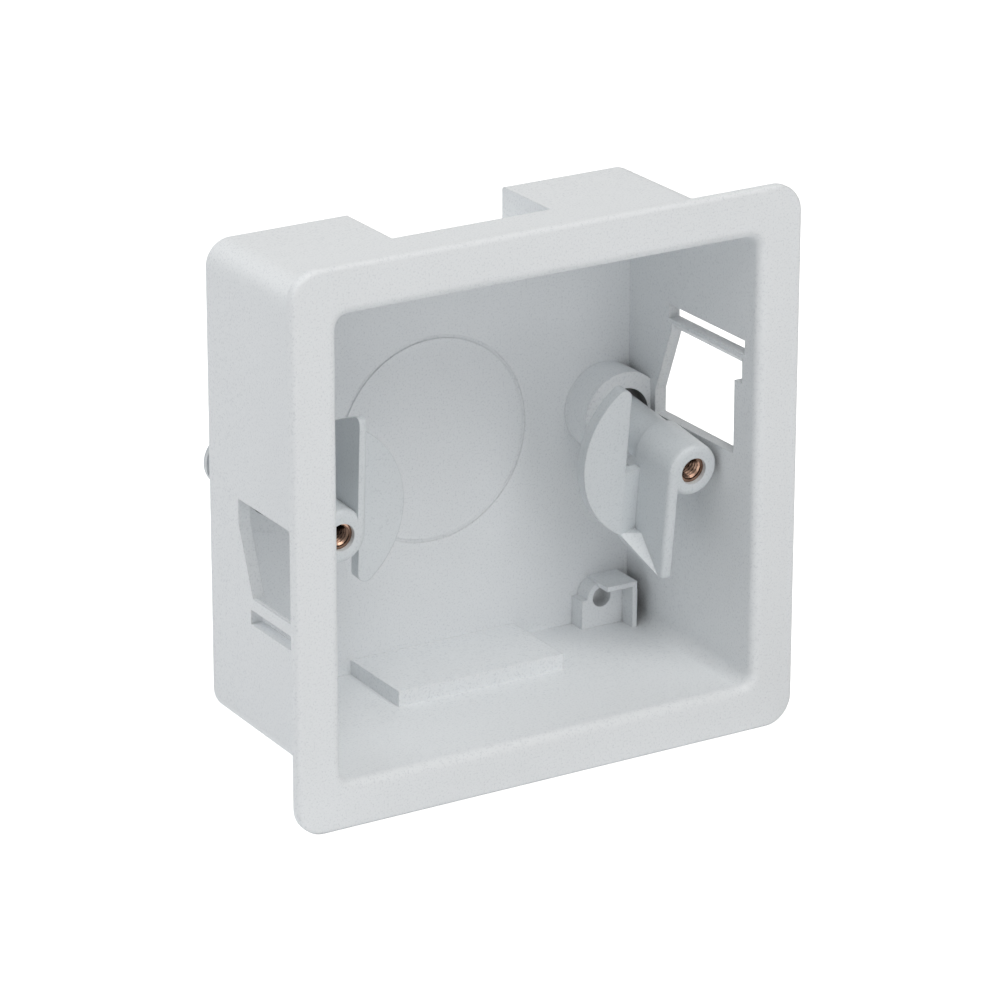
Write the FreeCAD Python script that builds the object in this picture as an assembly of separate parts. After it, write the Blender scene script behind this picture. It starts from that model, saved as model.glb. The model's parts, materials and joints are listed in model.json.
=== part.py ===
import FreeCAD, Part
import math
import os

from FreeCAD import Placement, Rotation, Vector

# Drywall back box, millimetres. X is right as seen from the room, Y runs into the wall, Z is up.
# The origin is the centre of the opening on the back plane of the flange, where the board's face lies.

# Flange
flange_overhang = 5.5
flange_thickness = 1.5
flange_corner_radius = 4.5
flange_edge_radius = 0.7

# Tub behind the flange
body_side_front = 74.0
body_side_back = 73.5
body_corner_radius = 4.0
overall_depth = 36.2
wall = 2.0
wall_front = 1.8
opening_edge_radius = 1.5
foot_radius = 0.5

# Recess in the middle of the top wall, and the shallow one under the floor
top_recess_width = 26.7
top_recess_depth = 6.0
floor_recess_width = 24.6
floor_recess_depth = 2.2
top_recess_start = 22.7
floor_recess_start = 21.9

# Fixing centres and the bores that carry the lugs
fixing_centres = 60.3
bore_radius = 4.3
boss_radius = 6.9
boss_front = 28.3

# Window in each side wall, as depth behind the front face and height from the fixing line
window_front = 6.1
window_back = 27.0
window_shoulder = 3.75
window_height = 14.2
window_slant_end = 22.9
notch_reach = 1.9
notch_height = 2.7
slot_front = 3.6
slot_back = 23.6
slot_height = 2.2
bar_height = 1.9
bar_lead_in = 1.3

# Fixing pocket, measured from the inner corner at the lower right of the back wall
fixing_hole_radius = 1.6
fixing_hole_from_side = 6.5
fixing_hole_from_floor = 4.7
fixing_boss_radius = 2.5
pocket_width = 10.0
pocket_height = 4.6
pocket_rise = 3.0
hood_far_side = 7.3
hood_near_side = 2.0
hood_height = 7.4
hood_rise = 6.0
hood_wall = 0.8

# Knockout outline on the back wall
knockout_radius = 16.0
knockout_groove_width = 0.45
knockout_groove_depth = 0.15

# Lug, measured along its own axis from the front face of the rod
rod_radius = 3.6
rod_front_radius = 4.15
rod_length = 34.0
head_radius = 4.5
head_length = 1.8
rod_edge = 0.9
vane_radius = 14.55
vane_offset = 7.4
vane_thickness = 2.0
vane_clearance = 0.4
vane_corner_radius = 1.3
slot_bottom = -2.3
fin_inner = 2.6
fin_thickness = 1.5
fin_front_reach = 18.2
fin_back_reach = 14.0
fin_tip_radius = 1.0
fin_edge_radius = 0.9
valley_depth = 0.8
web_top = 12.4
web_reach = 1.1

# How far each lug hangs down at its front, and how far its front face lies behind the flange
right_hang = 7.0
left_hang = 3.0
right_front = 9.0
left_front = 8.5

# Brass insert in the front of each rod
insert_radius = 2.5
insert_length = 8.0
insert_recess = 0.8
insert_fit = 0.04
mouth_radius = 2.1
screw_minor_radius = 1.45
screw_clearance_radius = 1.9
insert_groove_depth = 0.35
insert_groove_width = 1.2

flange_side = body_side_front + 2.0 * flange_overhang
front_y = -flange_thickness
back_y = front_y + overall_depth
back_wall_y = back_y - wall
lug_x = fixing_centres / 2.0
pivot_y = front_y + (boss_front + overall_depth) / 2.0


def depth(value):
    """A depth behind the front face of the flange, as a Y coordinate."""
    return front_y + value


def half_side(y):
    """Half the outer width of the tub at a depth, with its draft."""
    share = y / back_y
    return (body_side_front + share * (body_side_back - body_side_front)) / 2.0


def block(x0, x1, y0, y1, z0, z1):
    return Part.makeBox(x1 - x0, y1 - y0, z1 - z0, Vector(x0, y0, z0))


def cylinder_y(radius, y0, y1, x=0.0, z=0.0):
    return Part.makeCylinder(radius, y1 - y0, Vector(x, y0, z), Vector(0, 1, 0))


def rounded_square(half, radius, y):
    """A wire in the plane at y, a square with round corners."""
    flat = half - radius
    diagonal = flat + radius * math.sqrt(0.5)
    edges = []
    for turn in range(4):
        corner = [
            Vector(half, y, flat),
            Vector(diagonal, y, diagonal),
            Vector(flat, y, half),
            Vector(-flat, y, half),
        ]
        spin = Rotation(Vector(0, 1, 0), -90.0 * turn)
        a, b, c, d = (spin.multVec(point) for point in corner)
        edges.append(Part.Arc(a, b, c).toShape())
        edges.append(Part.LineSegment(c, d).toShape())
    return Part.Wire(edges)


def drafted_tub(half_front, half_back, radius, y0, y1):
    """A square block that narrows towards the back, with round corners."""
    front, back = half_front, half_back
    tub = Part.makeWedge(-front, y0, -front, -back, -back, front, y1, front, back, back)
    corners = [edge for edge in tub.Edges if edge.BoundBox.YLength > (y1 - y0) / 2.0]
    return tub.makeFillet(radius, corners)


def edges_in_plane(shape, y, half_limit):
    """Edges that lie wholly at the depth y and outside or inside a half width."""
    low, high = half_limit
    chosen = []
    for edge in shape.Edges:
        box = edge.BoundBox
        if abs(box.YMin - y) > 1e-4 or abs(box.YMax - y) > 1e-4:
            continue
        reach = max(abs(box.XMin), abs(box.XMax), abs(box.ZMin), abs(box.ZMax))
        if low < reach < high:
            chosen.append(edge)
    return chosen


def shell():
    """Flange and open tub, one wall thick."""
    plate = Part.Face(rounded_square(flange_side / 2.0, flange_corner_radius, front_y))
    flange = plate.extrude(Vector(0, flange_thickness, 0))
    tub = drafted_tub(half_side(0.0), half_side(back_y), body_corner_radius, 0.0, back_y)
    outer = flange.fuse(tub)
    outer_rim = edges_in_plane(outer, front_y, (flange_side / 2.0 - 6.0, flange_side))
    outer = outer.makeFillet(flange_edge_radius, outer_rim)
    foot = edges_in_plane(outer, back_y, (0.0, flange_side))
    outer = outer.makeFillet(foot_radius, foot)
    hollow = drafted_tub(
        half_side(front_y) - wall_front,
        half_side(back_wall_y) - wall,
        body_corner_radius - wall,
        front_y,
        back_wall_y,
    )
    return outer, hollow


def box_body():
    outer, hollow = shell()
    top_half = top_recess_width / 2.0
    floor_half = floor_recess_width / 2.0
    top_y = depth(top_recess_start)
    floor_y = depth(floor_recess_start)
    far = flange_side
    top_z = half_side(back_y) - top_recess_depth
    floor_z = -half_side(back_y) + floor_recess_depth
    # The cavity keeps one wall around the two recesses
    hollow = hollow.cut(block(-top_half - wall, top_half + wall, top_y - wall, far, top_z - wall, far))
    hollow = hollow.cut(block(-floor_half - wall, floor_half + wall, floor_y - wall, far, -far, floor_z + wall))
    body = outer.cut(hollow)
    body = body.cut(block(-top_half, top_half, top_y, far, top_z, far))
    body = body.cut(block(-floor_half, floor_half, floor_y, far, -far, floor_z))
    mouth = edges_in_plane(body, front_y, (0.0, half_side(0.0) - 0.5))
    body = body.makeFillet(opening_edge_radius, mouth)
    for side in (-1.0, 1.0):
        boss = cylinder_y(boss_radius, depth(boss_front), back_wall_y + 0.5, side * lug_x)
        body = body.fuse(boss.common(outer))
    body = body.fuse(fixing_pocket(outer))
    for side in (-1.0, 1.0):
        body = body.cut(cylinder_y(bore_radius, depth(boss_front) - 1.0, back_y + 1.0, side * lug_x))
    cutter = side_openings()
    body = body.cut(cutter)
    body = body.cut(cutter.rotated(Vector(0, 0, 0), Vector(0, 1, 0), 180.0))
    hole_x = inner_corner() - fixing_hole_from_side
    hole_z = fixing_hole_from_floor - inner_corner()
    body = body.cut(cylinder_y(fixing_hole_radius, front_y, back_y + 1.0, hole_x, hole_z))
    body = body.cut(knockout_groove())
    return body.removeSplitter()


def side_openings():
    """The right wall's window, the slot over it and the lead-in on the bar between them."""
    inside = half_side(back_y) - wall - 1.0
    slot_base = window_height + bar_height
    outline = [
        (window_front, 0.0),
        (window_back, 0.0),
        (window_back, window_shoulder),
        (window_slant_end, window_height),
        (window_front - notch_reach, window_height),
        (window_front - notch_reach, window_height - notch_height),
        (window_front, window_height - notch_height),
    ]
    points = [Vector(inside, depth(y), z) for y, z in outline]
    window = Part.Face(Part.makePolygon(points + points[:1])).extrude(Vector(wall + 3.0, 0, 0))
    slot = block(inside, inside + wall + 3.0, depth(slot_front), depth(slot_back), slot_base, slot_base + slot_height)
    wall_x = half_side(depth(window_front)) - wall
    profile = [
        Vector(wall_x - 1.0, depth(window_front - notch_reach), window_height - 1.0),
        Vector(wall_x - 1.0, depth(window_front - notch_reach), window_height + bar_lead_in + 1.0),
        Vector(wall_x + bar_lead_in + 1.0, depth(window_front - notch_reach), window_height - 1.0),
    ]
    travel = Vector(0, window_slant_end - window_front + notch_reach, 0)
    lead_in = Part.Face(Part.makePolygon(profile + profile[:1])).extrude(travel)
    return window.fuse(slot).fuse(lead_in)


def inner_corner():
    """Half the inner width of the tub at the back wall."""
    return half_side(back_wall_y) - wall


def fixing_pocket(outer):
    """Stepped pad, screw boss and hood in the lower right corner of the back wall."""
    corner = half_side(back_y)
    inner = inner_corner()
    root = back_wall_y + 0.5
    pad_y = back_wall_y - pocket_rise
    hood_y = back_wall_y - hood_rise
    step = block(inner - pocket_width, corner, pad_y, root, -corner, pocket_height - inner)
    hole_x = inner - fixing_hole_from_side
    hole_z = fixing_hole_from_floor - inner
    boss = cylinder_y(fixing_boss_radius, pad_y, root, hole_x, hole_z)
    top = hood_height - inner
    right = inner - hood_near_side
    roof = block(inner - hood_far_side, right, hood_y, root, top - hood_wall, top)
    cheek = block(right - hood_wall, right, hood_y, root, -corner, top)
    pad = block(hole_x, right, pad_y, root, -corner, top)
    return step.fuse([boss, roof, cheek, pad]).common(outer)


def knockout_groove():
    half_width = knockout_groove_width / 2.0
    y0 = back_wall_y - 1.0
    y1 = back_wall_y + knockout_groove_depth
    ring = cylinder_y(knockout_radius + half_width, y0, y1).cut(cylinder_y(knockout_radius - half_width, y0, y1))
    return ring


def vane():
    """Segment plate about the lug's axis, on its -X side, with a slot that the box's wall fits."""
    outside = half_side(depth(right_front + vane_offset)) - lug_x + vane_clearance
    y0 = vane_offset
    y1 = vane_offset + vane_thickness
    disc = cylinder_y(vane_radius, y0, y1)
    # Outside the box's wall the plate spans the whole segment, and the fin's half reaches in to the rod
    far = block(-vane_radius, -outside, y0, y1, -vane_radius, vane_radius)
    near = block(-outside, -fin_inner, y0, y1, -vane_radius, slot_bottom)
    plate = disc.common(far.fuse(near)).removeSplitter()
    # The leading corner, where the straight edge meets the arc, is only rounded
    corner_z = math.sqrt(vane_radius ** 2 - outside ** 2)
    corner = [
        edge
        for edge in plate.Edges
        if abs(edge.BoundBox.XMin + outside) < 1e-3
        and abs(edge.BoundBox.XMax + outside) < 1e-3
        and abs(edge.BoundBox.ZMin - corner_z) < 1e-3
        and edge.BoundBox.YLength > vane_thickness / 2.0
    ]
    return plate.makeFillet(vane_corner_radius, corner)


def fin_side(x):
    """The fin's outline seen from the side, as a face in the plane at x."""
    y1 = vane_offset + vane_thickness
    points = [
        Vector(x, 0.0, 0.0),
        Vector(x, y1, 0.0),
        Vector(x, y1, -fin_back_reach),
        Vector(x, 0.0, -fin_front_reach),
    ]
    return Part.Face(Part.makePolygon(points + points[:1]))


def fin():
    """Plate along the rod, tangent to its -X side, that hangs below it and carries the vane."""
    outer = -fin_inner - fin_thickness
    plate = fin_side(outer).extrude(Vector(fin_thickness, 0, 0))
    tip = [
        edge
        for edge in plate.Edges
        if abs(edge.BoundBox.YMax) < 1e-4 and abs(edge.BoundBox.ZMax + fin_front_reach) < 1e-4
    ]
    plate = plate.makeFillet(fin_tip_radius, tip)
    front = [
        edge
        for edge in plate.Edges
        if abs(edge.BoundBox.YMax) < 1e-4
        and abs(edge.BoundBox.XMax - outer) < 1e-4
        and edge.BoundBox.ZLength > fin_front_reach / 2.0
    ]
    return plate.makeFillet(fin_edge_radius, front)


def valley():
    """Wedge cut from the vane's front face beside the fin, deepest at the fin, between slot and web."""
    outside = half_side(depth(right_front + vane_offset)) - lug_x + vane_clearance
    fin_face = -fin_inner - fin_thickness
    plan = [
        Vector(fin_face, vane_offset + valley_depth, slot_bottom + 1.0),
        Vector(-outside, vane_offset, slot_bottom + 1.0),
        Vector(fin_face, vane_offset, slot_bottom + 1.0),
    ]
    drop = web_top + slot_bottom + 1.0
    return Part.Face(Part.makePolygon(plan + plan[:1])).extrude(Vector(0, 0, -drop))


def web():
    """Sloped web from the vane's lower corner to the fin's tip, under a narrow ledge."""
    outside = half_side(depth(right_front + vane_offset)) - lug_x + vane_clearance
    fin_face = -fin_inner - fin_thickness
    root = fin_face + fin_thickness / 2.0
    back = vane_offset + vane_thickness / 2.0
    corner_z = -math.sqrt(vane_radius ** 2 - outside ** 2)
    tip_z = -fin_front_reach + fin_tip_radius
    face = [
        Vector(root, 0.0, -web_top),
        Vector(-outside, 0.0, -web_top),
        Vector(-outside, 0.0, corner_z),
        Vector(fin_face, 0.0, tip_z),
        Vector(root, 0.0, tip_z),
    ]
    deep = Part.Face(Part.makePolygon(face + face[:1])).extrude(Vector(0, back, 0))
    side = fin_side(0.0).extrude(Vector(-vane_radius, 0, 0))
    # What lies behind the plane through the vane's corner, the ledge's end on the fin and the fin's tip
    corner = Vector(-outside, vane_offset, corner_z)
    ledge_end = Vector(fin_face, vane_offset - web_reach, -web_top)
    tip = Vector(fin_face, fin_edge_radius, tip_z)
    normal = (tip - corner).cross(ledge_end - corner)
    if normal.y < 0:
        normal = -normal
    reach = 2.0 * vane_radius
    behind = Part.makeBox(2.0 * reach, 2.0 * reach, reach, Vector(-reach, -reach, 0))
    behind.Placement = Placement(corner, Rotation(Vector(0, 0, 1), normal)).multiply(behind.Placement)
    return deep.common(side).common(behind)


def rod_nose():
    """The rod's thicker front part, its front edge rounded in three short cones."""
    flat = rod_front_radius - rod_edge
    length = vane_offset + vane_thickness
    points = [Vector(0, 0, 0)]
    for angle in (0.0, 30.0, 60.0, 90.0):
        turn = math.radians(angle)
        points.append(Vector(flat + rod_edge * math.sin(turn), rod_edge * (1.0 - math.cos(turn)), 0))
    points += [Vector(rod_front_radius, length, 0), Vector(0, length, 0)]
    profile = Part.Face(Part.makePolygon(points + points[:1]))
    return profile.revolve(Vector(0, 0, 0), Vector(0, 1, 0), 360.0)


def lug():
    """The moulded lug in its own frame: the axis is Y and the front face is at y = 0."""
    thick = rod_nose()
    rod = cylinder_y(rod_radius, 1.0, rod_length)
    head = cylinder_y(head_radius, rod_length - head_length, rod_length)
    back = edges_in_plane(head, rod_length, (0.0, head_radius + 1.0))
    head = head.makeChamfer(0.8, back)
    body = rod.fuse([thick, head, vane().cut(valley()), fin(), web()])
    pocket = cylinder_y(insert_radius + insert_fit, insert_recess, insert_recess + insert_length)
    mouth = cylinder_y(mouth_radius, -1.0, insert_recess)
    tail = cylinder_y(screw_clearance_radius, insert_recess, rod_length + 1.0)
    return body.cut(pocket.fuse([mouth, tail])).removeSplitter()


def insert():
    """Turned brass bush with two grooves round it, threaded from end to end."""
    bush = cylinder_y(insert_radius, insert_recess, insert_recess + insert_length)
    bush = bush.cut(cylinder_y(screw_minor_radius, 0.0, rod_length))
    third = insert_length / 3.0
    for index in (1, 2):
        middle = insert_recess + index * third
        band = cylinder_y(insert_radius + 1.0, middle - insert_groove_width / 2.0, middle + insert_groove_width / 2.0)
        core = cylinder_y(insert_radius - insert_groove_depth, 0.0, rod_length)
        bush = bush.cut(band.cut(core))
    return bush


def hang(shape, side, angle, front):
    """Place a lug or insert: turned half round on the left, tipped down, on the bore's centre."""
    placed = shape.copy()
    if side < 0:
        placed.rotate(Vector(0, 0, 0), Vector(0, 1, 0), 180.0)
    reach = (pivot_y - depth(front)) / math.cos(math.radians(angle))
    placed.translate(Vector(0, -reach, 0))
    placed.rotate(Vector(0, 0, 0), Vector(1, 0, 0), angle)
    placed.translate(Vector(side * lug_x, pivot_y, 0))
    return placed


def build():
    one_lug = lug()
    one_insert = insert()
    return {
        "box_body": box_body(),
        "lug_left": hang(one_lug, -1.0, left_hang, left_front),
        "lug_right": hang(one_lug, 1.0, right_hang, right_front),
        "insert_left": hang(one_insert, -1.0, left_hang, left_front),
        "insert_right": hang(one_insert, 1.0, right_hang, right_front),
    }


os.makedirs("parts", exist_ok=True)
for node, shape in build().items():
    shape.exportStep("parts/%s.step" % node)
    print(node, "valid", shape.isValid(), "solids", len(shape.Solids), "volume", round(shape.Volume, 1))
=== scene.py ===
import json
import math

import bpy
import numpy as np
from mathutils import Matrix, Vector


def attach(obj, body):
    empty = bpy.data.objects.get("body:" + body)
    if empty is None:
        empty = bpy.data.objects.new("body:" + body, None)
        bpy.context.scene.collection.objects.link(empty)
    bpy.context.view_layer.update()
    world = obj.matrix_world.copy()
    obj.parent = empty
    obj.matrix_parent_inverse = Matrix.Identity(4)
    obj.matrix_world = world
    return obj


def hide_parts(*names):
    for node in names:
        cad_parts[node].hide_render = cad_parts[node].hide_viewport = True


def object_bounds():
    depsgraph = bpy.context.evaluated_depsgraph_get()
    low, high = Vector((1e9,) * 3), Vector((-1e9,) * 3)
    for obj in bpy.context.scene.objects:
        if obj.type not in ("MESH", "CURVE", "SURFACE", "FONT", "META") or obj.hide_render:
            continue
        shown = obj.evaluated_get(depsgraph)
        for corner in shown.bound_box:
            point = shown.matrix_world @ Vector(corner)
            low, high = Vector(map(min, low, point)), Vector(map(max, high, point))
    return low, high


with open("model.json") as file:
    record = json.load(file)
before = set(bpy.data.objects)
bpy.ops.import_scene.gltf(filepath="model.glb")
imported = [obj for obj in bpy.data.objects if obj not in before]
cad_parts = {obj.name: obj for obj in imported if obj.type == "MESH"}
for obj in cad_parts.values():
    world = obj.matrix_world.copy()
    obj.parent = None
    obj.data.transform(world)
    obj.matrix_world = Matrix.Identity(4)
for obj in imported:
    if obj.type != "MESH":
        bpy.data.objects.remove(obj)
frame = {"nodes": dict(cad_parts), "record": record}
cadLow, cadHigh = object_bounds()
record = frame["record"]
mounts = {mount["name"]: mount for mount in record["mounts"]}
mm = 0.001
print("frame: nodes", sorted(frame["nodes"]))


def linear(hexText):  # an sRGB hex value as linear red, green and blue
    values = np.array([int(hexText[i : i + 2], 16) / 255.0 for i in (1, 3, 5)])
    low = values / 12.92
    high = ((values + 0.055) / 1.055) ** 2.4
    return tuple(np.where(values <= 0.04045, low, high)) + (1.0,)


def addNode(tree, kind, settings=None, links=None):  # one node with its settings and its incoming links
    node = tree.nodes.new(kind)
    for name, value in (settings or {}).items():
        if name in node.inputs:
            node.inputs[name].default_value = value
        else:
            setattr(node, name, value)
    for name, socket in (links or {}).items():
        tree.links.new(socket, node.inputs[name])
    return node


def newMaterial(name):
    material = bpy.data.materials.new(name)
    material.use_nodes = True
    material.node_tree.nodes.clear()
    return material, material.node_tree


def creviceShade(tree, look):  # painted shade from an ambient occlusion node: 1 in the open, down to the look's darkest share deep in a bore
    cover = addNode(
        tree, "ShaderNodeAmbientOcclusion", {"samples": 8, "Distance": look["creviceReach"] * mm}
    )
    shade = addNode(
        tree,
        "ShaderNodeMapRange",
        {
            "From Min": look["creviceClosed"],
            "From Max": look["creviceOpen"],
            "To Min": look["creviceDark"],
            "To Max": 1.0,
        },
        {"Value": cover.outputs["AO"]},
    )
    return shade.outputs["Result"]


def grains(millimetres):  # a noise scale whose features are that many millimetres wide
    return 1.0 / (millimetres * mm)


# Moulded plastic

plasticBox = {
    "colour": "#f2f5f7",  # cool light grey of a PVC back box
    "darkFleck": "#d9dde1",
    "fleckSize": 0.3,
    "fleckFrom": 0.52,  # noise level where a fleck starts, and where it is fullest
    "fleckFull": 0.72,
    "fleckShare": 0.7,
    "cloudSize": 14.0,
    "cloudAmount": 0.012,
    "roughness": 0.5,
    "ior": 1.53,
    "grainSize": 0.3,  # spark-eroded tool finish
    "grainHeight": 0.012,
    "edgeRadius": 0.25,
    "creviceReach": 8.0,  # painted shade: how far a wall still darkens its neighbour, mm
    "creviceClosed": 0.04,  # open share at which it is darkest, and at which it starts
    "creviceOpen": 0.26,
    "creviceDark": 0.18,
}
plasticLug = dict(
    plasticBox,
    # a little darker than the box's colour, so that the lugs' tones match
    colour="#dce1e4",
    darkFleck="#c8ced2",
    roughness=0.42,  # nylon keeps a little more sheen
    grainHeight=0.007,
    edgeRadius=0.2,
)


def mouldedPlastic(name, look):  # injection-moulded PVC: matte to satin, faintly flecked, with soft edges and painted shade in its crevices
    material, tree = newMaterial(name)
    place = addNode(tree, "ShaderNodeTexCoord").outputs["Object"]
    fleck = addNode(
        tree,
        "ShaderNodeTexNoise",
        {"Scale": grains(look["fleckSize"]), "Detail": 2.0, "Roughness": 0.6},
        {"Vector": place},
    )
    spots = addNode(
        tree,
        "ShaderNodeMapRange",
        {
            "From Min": look["fleckFrom"],
            "From Max": look["fleckFull"],
            "To Min": 0.0,
            "To Max": look["fleckShare"],
        },
        {"Value": fleck.outputs["Fac"]},
    )
    cloud = addNode(
        tree, "ShaderNodeTexNoise", {"Scale": grains(look["cloudSize"]), "Detail": 3.0}, {"Vector": place}
    )
    flecked = addNode(tree, "ShaderNodeMix", {"data_type": "RGBA"}, {"Factor": spots.outputs["Result"]})
    flecked.inputs[6].default_value = linear(look["colour"])
    flecked.inputs[7].default_value = linear(look["darkFleck"])
    tone = addNode(
        tree,
        "ShaderNodeMapRange",
        {"To Min": 1.0 - look["cloudAmount"], "To Max": 1.0 + look["cloudAmount"]},
        {"Value": cloud.outputs["Fac"]},
    )
    # painted shade in crevices and bores, multiplied with the cloud tone into the colour's value
    value = addNode(tree, "ShaderNodeMath", {"operation": "MULTIPLY"})
    tree.links.new(tone.outputs["Result"], value.inputs[0])
    tree.links.new(creviceShade(tree, look), value.inputs[1])
    shaded = addNode(
        tree,
        "ShaderNodeHueSaturation",
        {},
        {"Value": value.outputs[0], "Color": flecked.outputs[2]},
    )
    grain = addNode(
        tree,
        "ShaderNodeTexNoise",
        {"Scale": grains(look["grainSize"]), "Detail": 3.0, "Roughness": 0.65},
        {"Vector": place},
    )
    edge = addNode(tree, "ShaderNodeBevel", {"samples": 6, "Radius": look["edgeRadius"] * mm})
    bump = addNode(
        tree,
        "ShaderNodeBump",
        {"Distance": look["grainHeight"] * mm, "Strength": 1.0},
        {"Height": grain.outputs["Fac"], "Normal": edge.outputs["Normal"]},
    )
    surface = addNode(
        tree,
        "ShaderNodeBsdfPrincipled",
        {"Roughness": look["roughness"], "IOR": look["ior"]},
        {"Base Color": shaded.outputs["Color"], "Normal": bump.outputs["Normal"]},
    )
    addNode(tree, "ShaderNodeOutputMaterial", {}, {"Surface": surface.outputs["BSDF"]})
    return material


# Turned brass

brassInsert = {
    "colour": "#a88a78",
    "stain": "#5e3c34",
    "stainSize": 0.8,
    "stainFrom": 0.45,  # noise level where a stain starts, and where it is fullest
    "stainFull": 0.75,
    "stainShare": 0.6,
    "roughness": 0.16,
    # painted shade: the colour goes nearly black deep in the threaded bore
    "creviceReach": 7.0,
    "creviceClosed": 0.04,
    "creviceOpen": 0.5,
    "creviceDark": 0.02,
    "toolMark": 0.05,
    "toolMarkHeight": 0.002,
}


def turnedBrass(look):  # free-cutting brass off a lathe: warm crests in a bore darkened by painted shade, faintly stained
    material, tree = newMaterial("turnedBrass")
    place = addNode(tree, "ShaderNodeTexCoord").outputs["Object"]
    stain = addNode(
        tree, "ShaderNodeTexNoise", {"Scale": grains(look["stainSize"]), "Detail": 4.0}, {"Vector": place}
    )
    amount = addNode(
        tree,
        "ShaderNodeMapRange",
        {
            "From Min": look["stainFrom"],
            "From Max": look["stainFull"],
            "To Min": 0.0,
            "To Max": look["stainShare"],
        },
        {"Value": stain.outputs["Fac"]},
    )
    colour = addNode(tree, "ShaderNodeMix", {"data_type": "RGBA"}, {"Factor": amount.outputs["Result"]})
    colour.inputs[6].default_value = linear(look["colour"])
    colour.inputs[7].default_value = linear(look["stain"])
    # painted shade darkens the colour deep in the bore
    shaded = addNode(
        tree,
        "ShaderNodeHueSaturation",
        {},
        {"Value": creviceShade(tree, look), "Color": colour.outputs[2]},
    )
    marks = addNode(
        tree, "ShaderNodeTexNoise", {"Scale": grains(look["toolMark"]), "Detail": 1.0}, {"Vector": place}
    )
    bump = addNode(
        tree, "ShaderNodeBump", {"Distance": look["toolMarkHeight"] * mm}, {"Height": marks.outputs["Fac"]}
    )
    surface = addNode(
        tree,
        "ShaderNodeBsdfPrincipled",
        {"Metallic": 1.0, "Roughness": look["roughness"]},
        {"Base Color": shaded.outputs["Color"], "Normal": bump.outputs["Normal"]},
    )
    addNode(tree, "ShaderNodeOutputMaterial", {}, {"Surface": surface.outputs["BSDF"]})
    return material


boxPlastic = mouldedPlastic("mouldedPvcBox", plasticBox)
lugPlastic = mouldedPlastic("mouldedNylonLug", plasticLug)
brass = turnedBrass(brassInsert)
for node, material in (("box_body", boxPlastic), ("lug_left", lugPlastic), ("lug_right", lugPlastic)):
    for materialSlot in frame["nodes"][node].material_slots:
        materialSlot.material = material
print("materials:", boxPlastic.name, lugPlastic.name, brass.name)


# Threaded brass inserts

threadedInsert = {
    "outerRadius": 2.48,
    "endGap": 0.02,  # clear of the seat's end faces, so that the lug can turn round it
    "grooveDepth": 0.35,
    "grooveWidth": 1.2,
    "minorRadius": 1.45,
    "threadDepth": 0.3,
    "flankSlope": 1.25,  # of the triangle wave, whose crest and root are cut flat
    "rootFlat": 0.1,
    "pitch": 0.6,
    "countersink": 0.25,
    "stepsAround": 72,
    "stepsPerTurn": 10,
}


def insertProfile(look, length):
    # Closed section of the bush: radius and distance from its middle, and where the thread is cut
    half = length / 2.0
    groove = look["outerRadius"] - look["grooveDepth"]
    outer = [(look["outerRadius"], -half)]
    for centre in (-length / 6.0, length / 6.0):
        for offset, radii in ((-0.5, (look["outerRadius"], groove)), (0.5, (groove, look["outerRadius"]))):
            outer += [(radius, centre + offset * look["grooveWidth"]) for radius in radii]
    outer.append((look["outerRadius"], half))
    lip = look["minorRadius"] + look["countersink"]
    steps = int(round(length / look["pitch"] * look["stepsPerTurn"]))
    along = np.linspace(half - look["countersink"], -half + look["countersink"], steps)
    inner = np.column_stack([np.full(steps, look["minorRadius"]), along])
    section = np.vstack([outer, [(lip, half)], inner, [(lip, -half)]])
    thread = np.zeros(len(section))
    start = len(outer) + 1
    thread[start : start + steps] = 1.0
    return section, thread


def insertMesh(name, look, centre, outward, length):
    # Radius is the section's, plus the thread's depth times a flat-topped triangle wave
    # of the axial place over the pitch, less the turn
    section, thread = insertProfile(look, length)
    turn = np.linspace(0.0, 1.0, look["stepsAround"], endpoint=False)
    radius = section[:, 0][:, None]
    along = section[:, 1][:, None]
    phase = np.mod(along / look["pitch"] - turn[None, :], 1.0)
    wave = 1.0 - np.abs(2.0 * phase - 1.0)
    form = np.clip(wave * look["flankSlope"] - look["rootFlat"], 0.0, 1.0)
    radius = radius + thread[:, None] * look["threadDepth"] * form
    forward = Vector(outward).normalized()
    across = forward.cross(Vector((1, 0, 0))).normalized()
    up = forward.cross(across)
    angle = 2.0 * np.pi * turn[None, :]
    ring = np.cos(angle)[..., None] * np.array(across) + np.sin(angle)[..., None] * np.array(up)
    points = radius[..., None] * ring + along[..., None] * np.array(forward)
    points = np.array(centre) + points.reshape(-1, 3) * mm
    rows, columns = len(section), look["stepsAround"]
    a = np.arange(rows)[:, None] * columns + np.arange(columns)[None, :]
    right = np.roll(a, -1, axis=1)
    below = np.roll(a, -1, axis=0)
    corner = np.roll(right, -1, axis=0)
    faces = np.stack([a, below, corner, right], axis=-1).reshape(-1, 4)
    mesh = bpy.data.meshes.new(name)
    mesh.from_pydata(points.tolist(), [], faces.tolist())
    mesh.validate()
    return mesh


def makeInsert(sideName, look):
    node = "insert_" + sideName
    mount = mounts[node]
    name = "threaded_insert_" + sideName
    length = mount["dims"]["length_mm"] - 2.0 * look["endGap"]
    mesh = insertMesh(name, look, mount["pos_m"], mount["axis"], length)
    piece = bpy.data.objects.new(name, mesh)
    bpy.context.scene.collection.objects.link(piece)
    mesh.materials.append(brass)
    piece.data.shade_smooth()
    piece.data.set_sharp_from_angle(angle=math.radians(35.0))
    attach(piece, node)
    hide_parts(node)
    return piece


for sideName in ("left", "right"):
    insertPiece = makeInsert(sideName, threadedInsert)
    print("insert:", insertPiece.name, len(insertPiece.data.polygons), "faces")


# Studio

studio = {
    "floorColour": "#f4f5f6",
    "floorSize": 6.0,
    "cameraLift": 1.0,  # added to the floor for camera rays, so that its lit part is white
    "worldColour": "#eef3f6",
    "worldStrength": 0.02,
}


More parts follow.
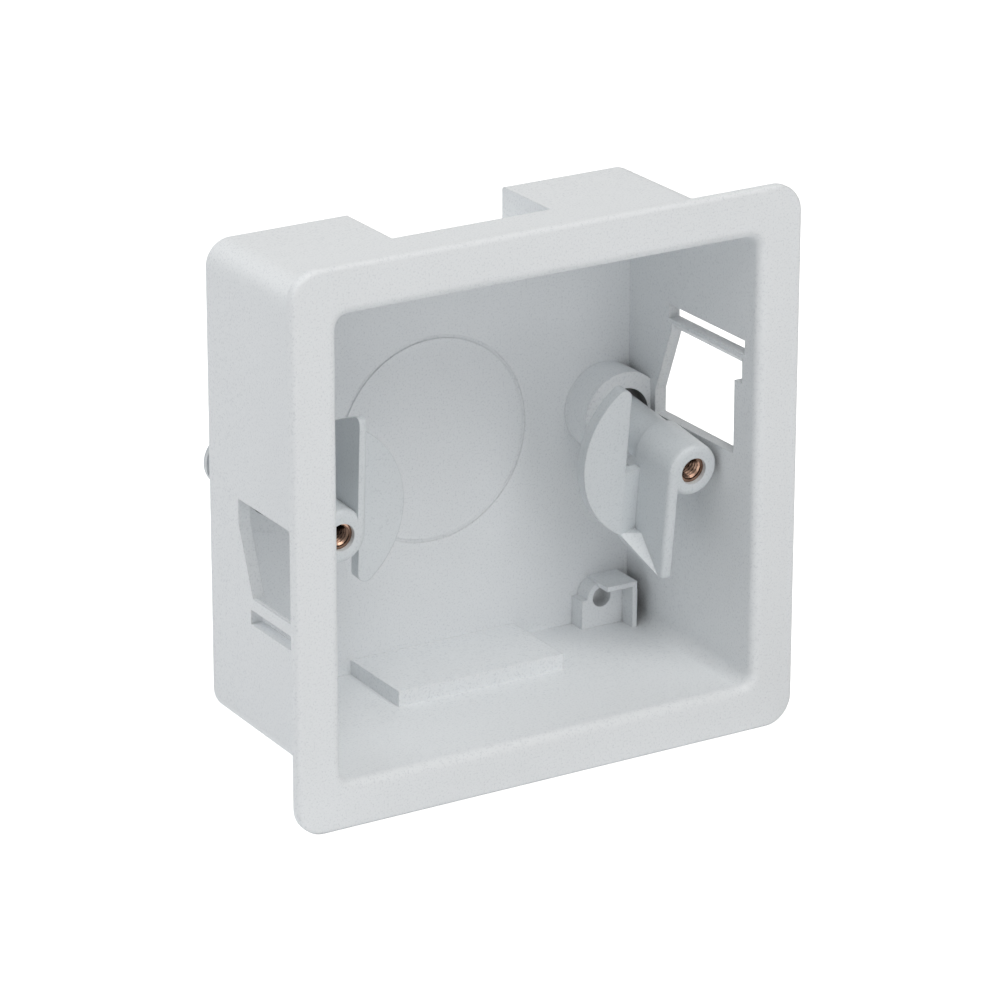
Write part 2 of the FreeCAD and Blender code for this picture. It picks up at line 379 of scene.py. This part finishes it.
def seenDirectly(tree):  # 1 for rays from the camera, a mirror or a clear body
    path = addNode(tree, "ShaderNodeLightPath")
    first = addNode(tree, "ShaderNodeMath", {"operation": "MAXIMUM"})
    tree.links.new(path.outputs["Is Camera Ray"], first.inputs[0])
    tree.links.new(path.outputs["Is Glossy Ray"], first.inputs[1])
    both = addNode(tree, "ShaderNodeMath", {"operation": "MAXIMUM"})
    tree.links.new(first.outputs[0], both.inputs[0])
    tree.links.new(path.outputs["Is Transmission Ray"], both.inputs[1])
    return both.outputs[0]


def paleFloor(look):
    size = look["floorSize"]
    level = cadLow.z
    mesh = bpy.data.meshes.new("floor")
    corners = [(-size, -size, level), (size, -size, level), (size, size, level), (-size, size, level)]
    mesh.from_pydata(corners, [], [(0, 1, 2, 3)])
    floor = bpy.data.objects.new("floor", mesh)
    bpy.context.scene.collection.objects.link(floor)
    material, tree = newMaterial("paintedFloor")
    paint = addNode(tree, "ShaderNodeBsdfDiffuse", {"Color": linear(look["floorColour"])})
    lift = addNode(tree, "ShaderNodeMath", {"operation": "MULTIPLY"})
    tree.links.new(seenDirectly(tree), lift.inputs[0])
    lift.inputs[1].default_value = look["cameraLift"]
    glow = addNode(tree, "ShaderNodeEmission", {}, {"Strength": lift.outputs[0]})
    both = addNode(tree, "ShaderNodeAddShader")
    tree.links.new(paint.outputs[0], both.inputs[0])
    tree.links.new(glow.outputs[0], both.inputs[1])
    addNode(tree, "ShaderNodeOutputMaterial", {}, {"Surface": both.outputs[0]})
    mesh.materials.append(material)


def paleWorld(look):
    world = bpy.data.worlds.new("studioWorld")
    bpy.context.scene.world = world
    world.use_nodes = True
    tree = world.node_tree
    tree.nodes.clear()
    ambient = addNode(
        tree, "ShaderNodeBackground", {"Color": linear(look["worldColour"]), "Strength": look["worldStrength"]}
    )
    backdrop = addNode(tree, "ShaderNodeBackground", {"Color": (1.0, 1.0, 1.0, 1.0), "Strength": 1.0})
    blend = addNode(tree, "ShaderNodeMixShader", {}, {"Fac": seenDirectly(tree)})
    tree.links.new(ambient.outputs[0], blend.inputs[1])
    tree.links.new(backdrop.outputs[0], blend.inputs[2])
    addNode(tree, "ShaderNodeOutputWorld", {}, {"Surface": blend.outputs[0]})


# Each softbox: where it stands in metres from the box, how wide it is, its watts and its colour
lamps = {
    "highLamp": {"place": (-0.1, -0.8, 1.1), "width": 0.9, "power": 6.6, "colour": "#fffdfa"},
    "nearLamp": {"place": (0.05, -0.2, 0.5), "width": 0.3, "power": 0.6, "colour": "#fffdfa"},
    "frontLamp": {"place": (0.0, -1.1, 0.25), "width": 0.8, "power": 2.2, "colour": "#fdfdff"},
    "backLamp": {"place": (-0.75, 0.5, 0.85), "width": 0.9, "power": 6.0, "colour": "#fdfeff"},
    "leftLamp": {"place": (-0.95, -0.1, 0.5), "width": 0.7, "power": 0.7, "colour": "#fdfdff"},
}


def addLamp(name, look):
    light = bpy.data.lights.new(name, "AREA")
    light.shape = "SQUARE"
    light.size = look["width"]
    light.energy = look["power"]
    light.color = linear(look["colour"])[:3]
    lamp = bpy.data.objects.new(name, light)
    bpy.context.scene.collection.objects.link(lamp)
    lamp.location = look["place"]
    lamp.rotation_euler = (-Vector(look["place"])).to_track_quat("-Z", "Y").to_euler()


paleFloor(studio)
paleWorld(studio)
for name, look in lamps.items():
    addLamp(name, look)
print("studio: floor at", round(cadLow.z / mm, 2), "mm,", len(lamps), "lamps")


# Camera

viewpoint = {
    "fromFlangeFront": (-375.1, -602.6, 269.5),  # camera from the middle of the flange's front face, mm
    "direction": (0.4858, 0.7995, -0.3534),
    "roll": 0.0015,  # radians
    "lens": 189.96,
    "sensor": 36.0,
}


def addCamera(look):
    data = bpy.data.cameras.new("camera")
    data.lens = look["lens"]
    data.sensor_width = look["sensor"]
    data.clip_start = 0.01
    data.clip_end = 50.0
    camera = bpy.data.objects.new("camera", data)
    bpy.context.scene.collection.objects.link(camera)
    flangeFront = Vector((0.0, cadLow.y, 0.0))
    camera.location = flangeFront + Vector(look["fromFlangeFront"]) * mm
    turned = Vector(look["direction"]).to_track_quat("-Z", "Y").to_matrix()
    camera.rotation_euler = (turned @ Matrix.Rotation(look["roll"], 3, "Z")).to_euler()
    bpy.context.scene.camera = camera


addCamera(viewpoint)
bpy.context.scene.view_settings.view_transform = "Standard"
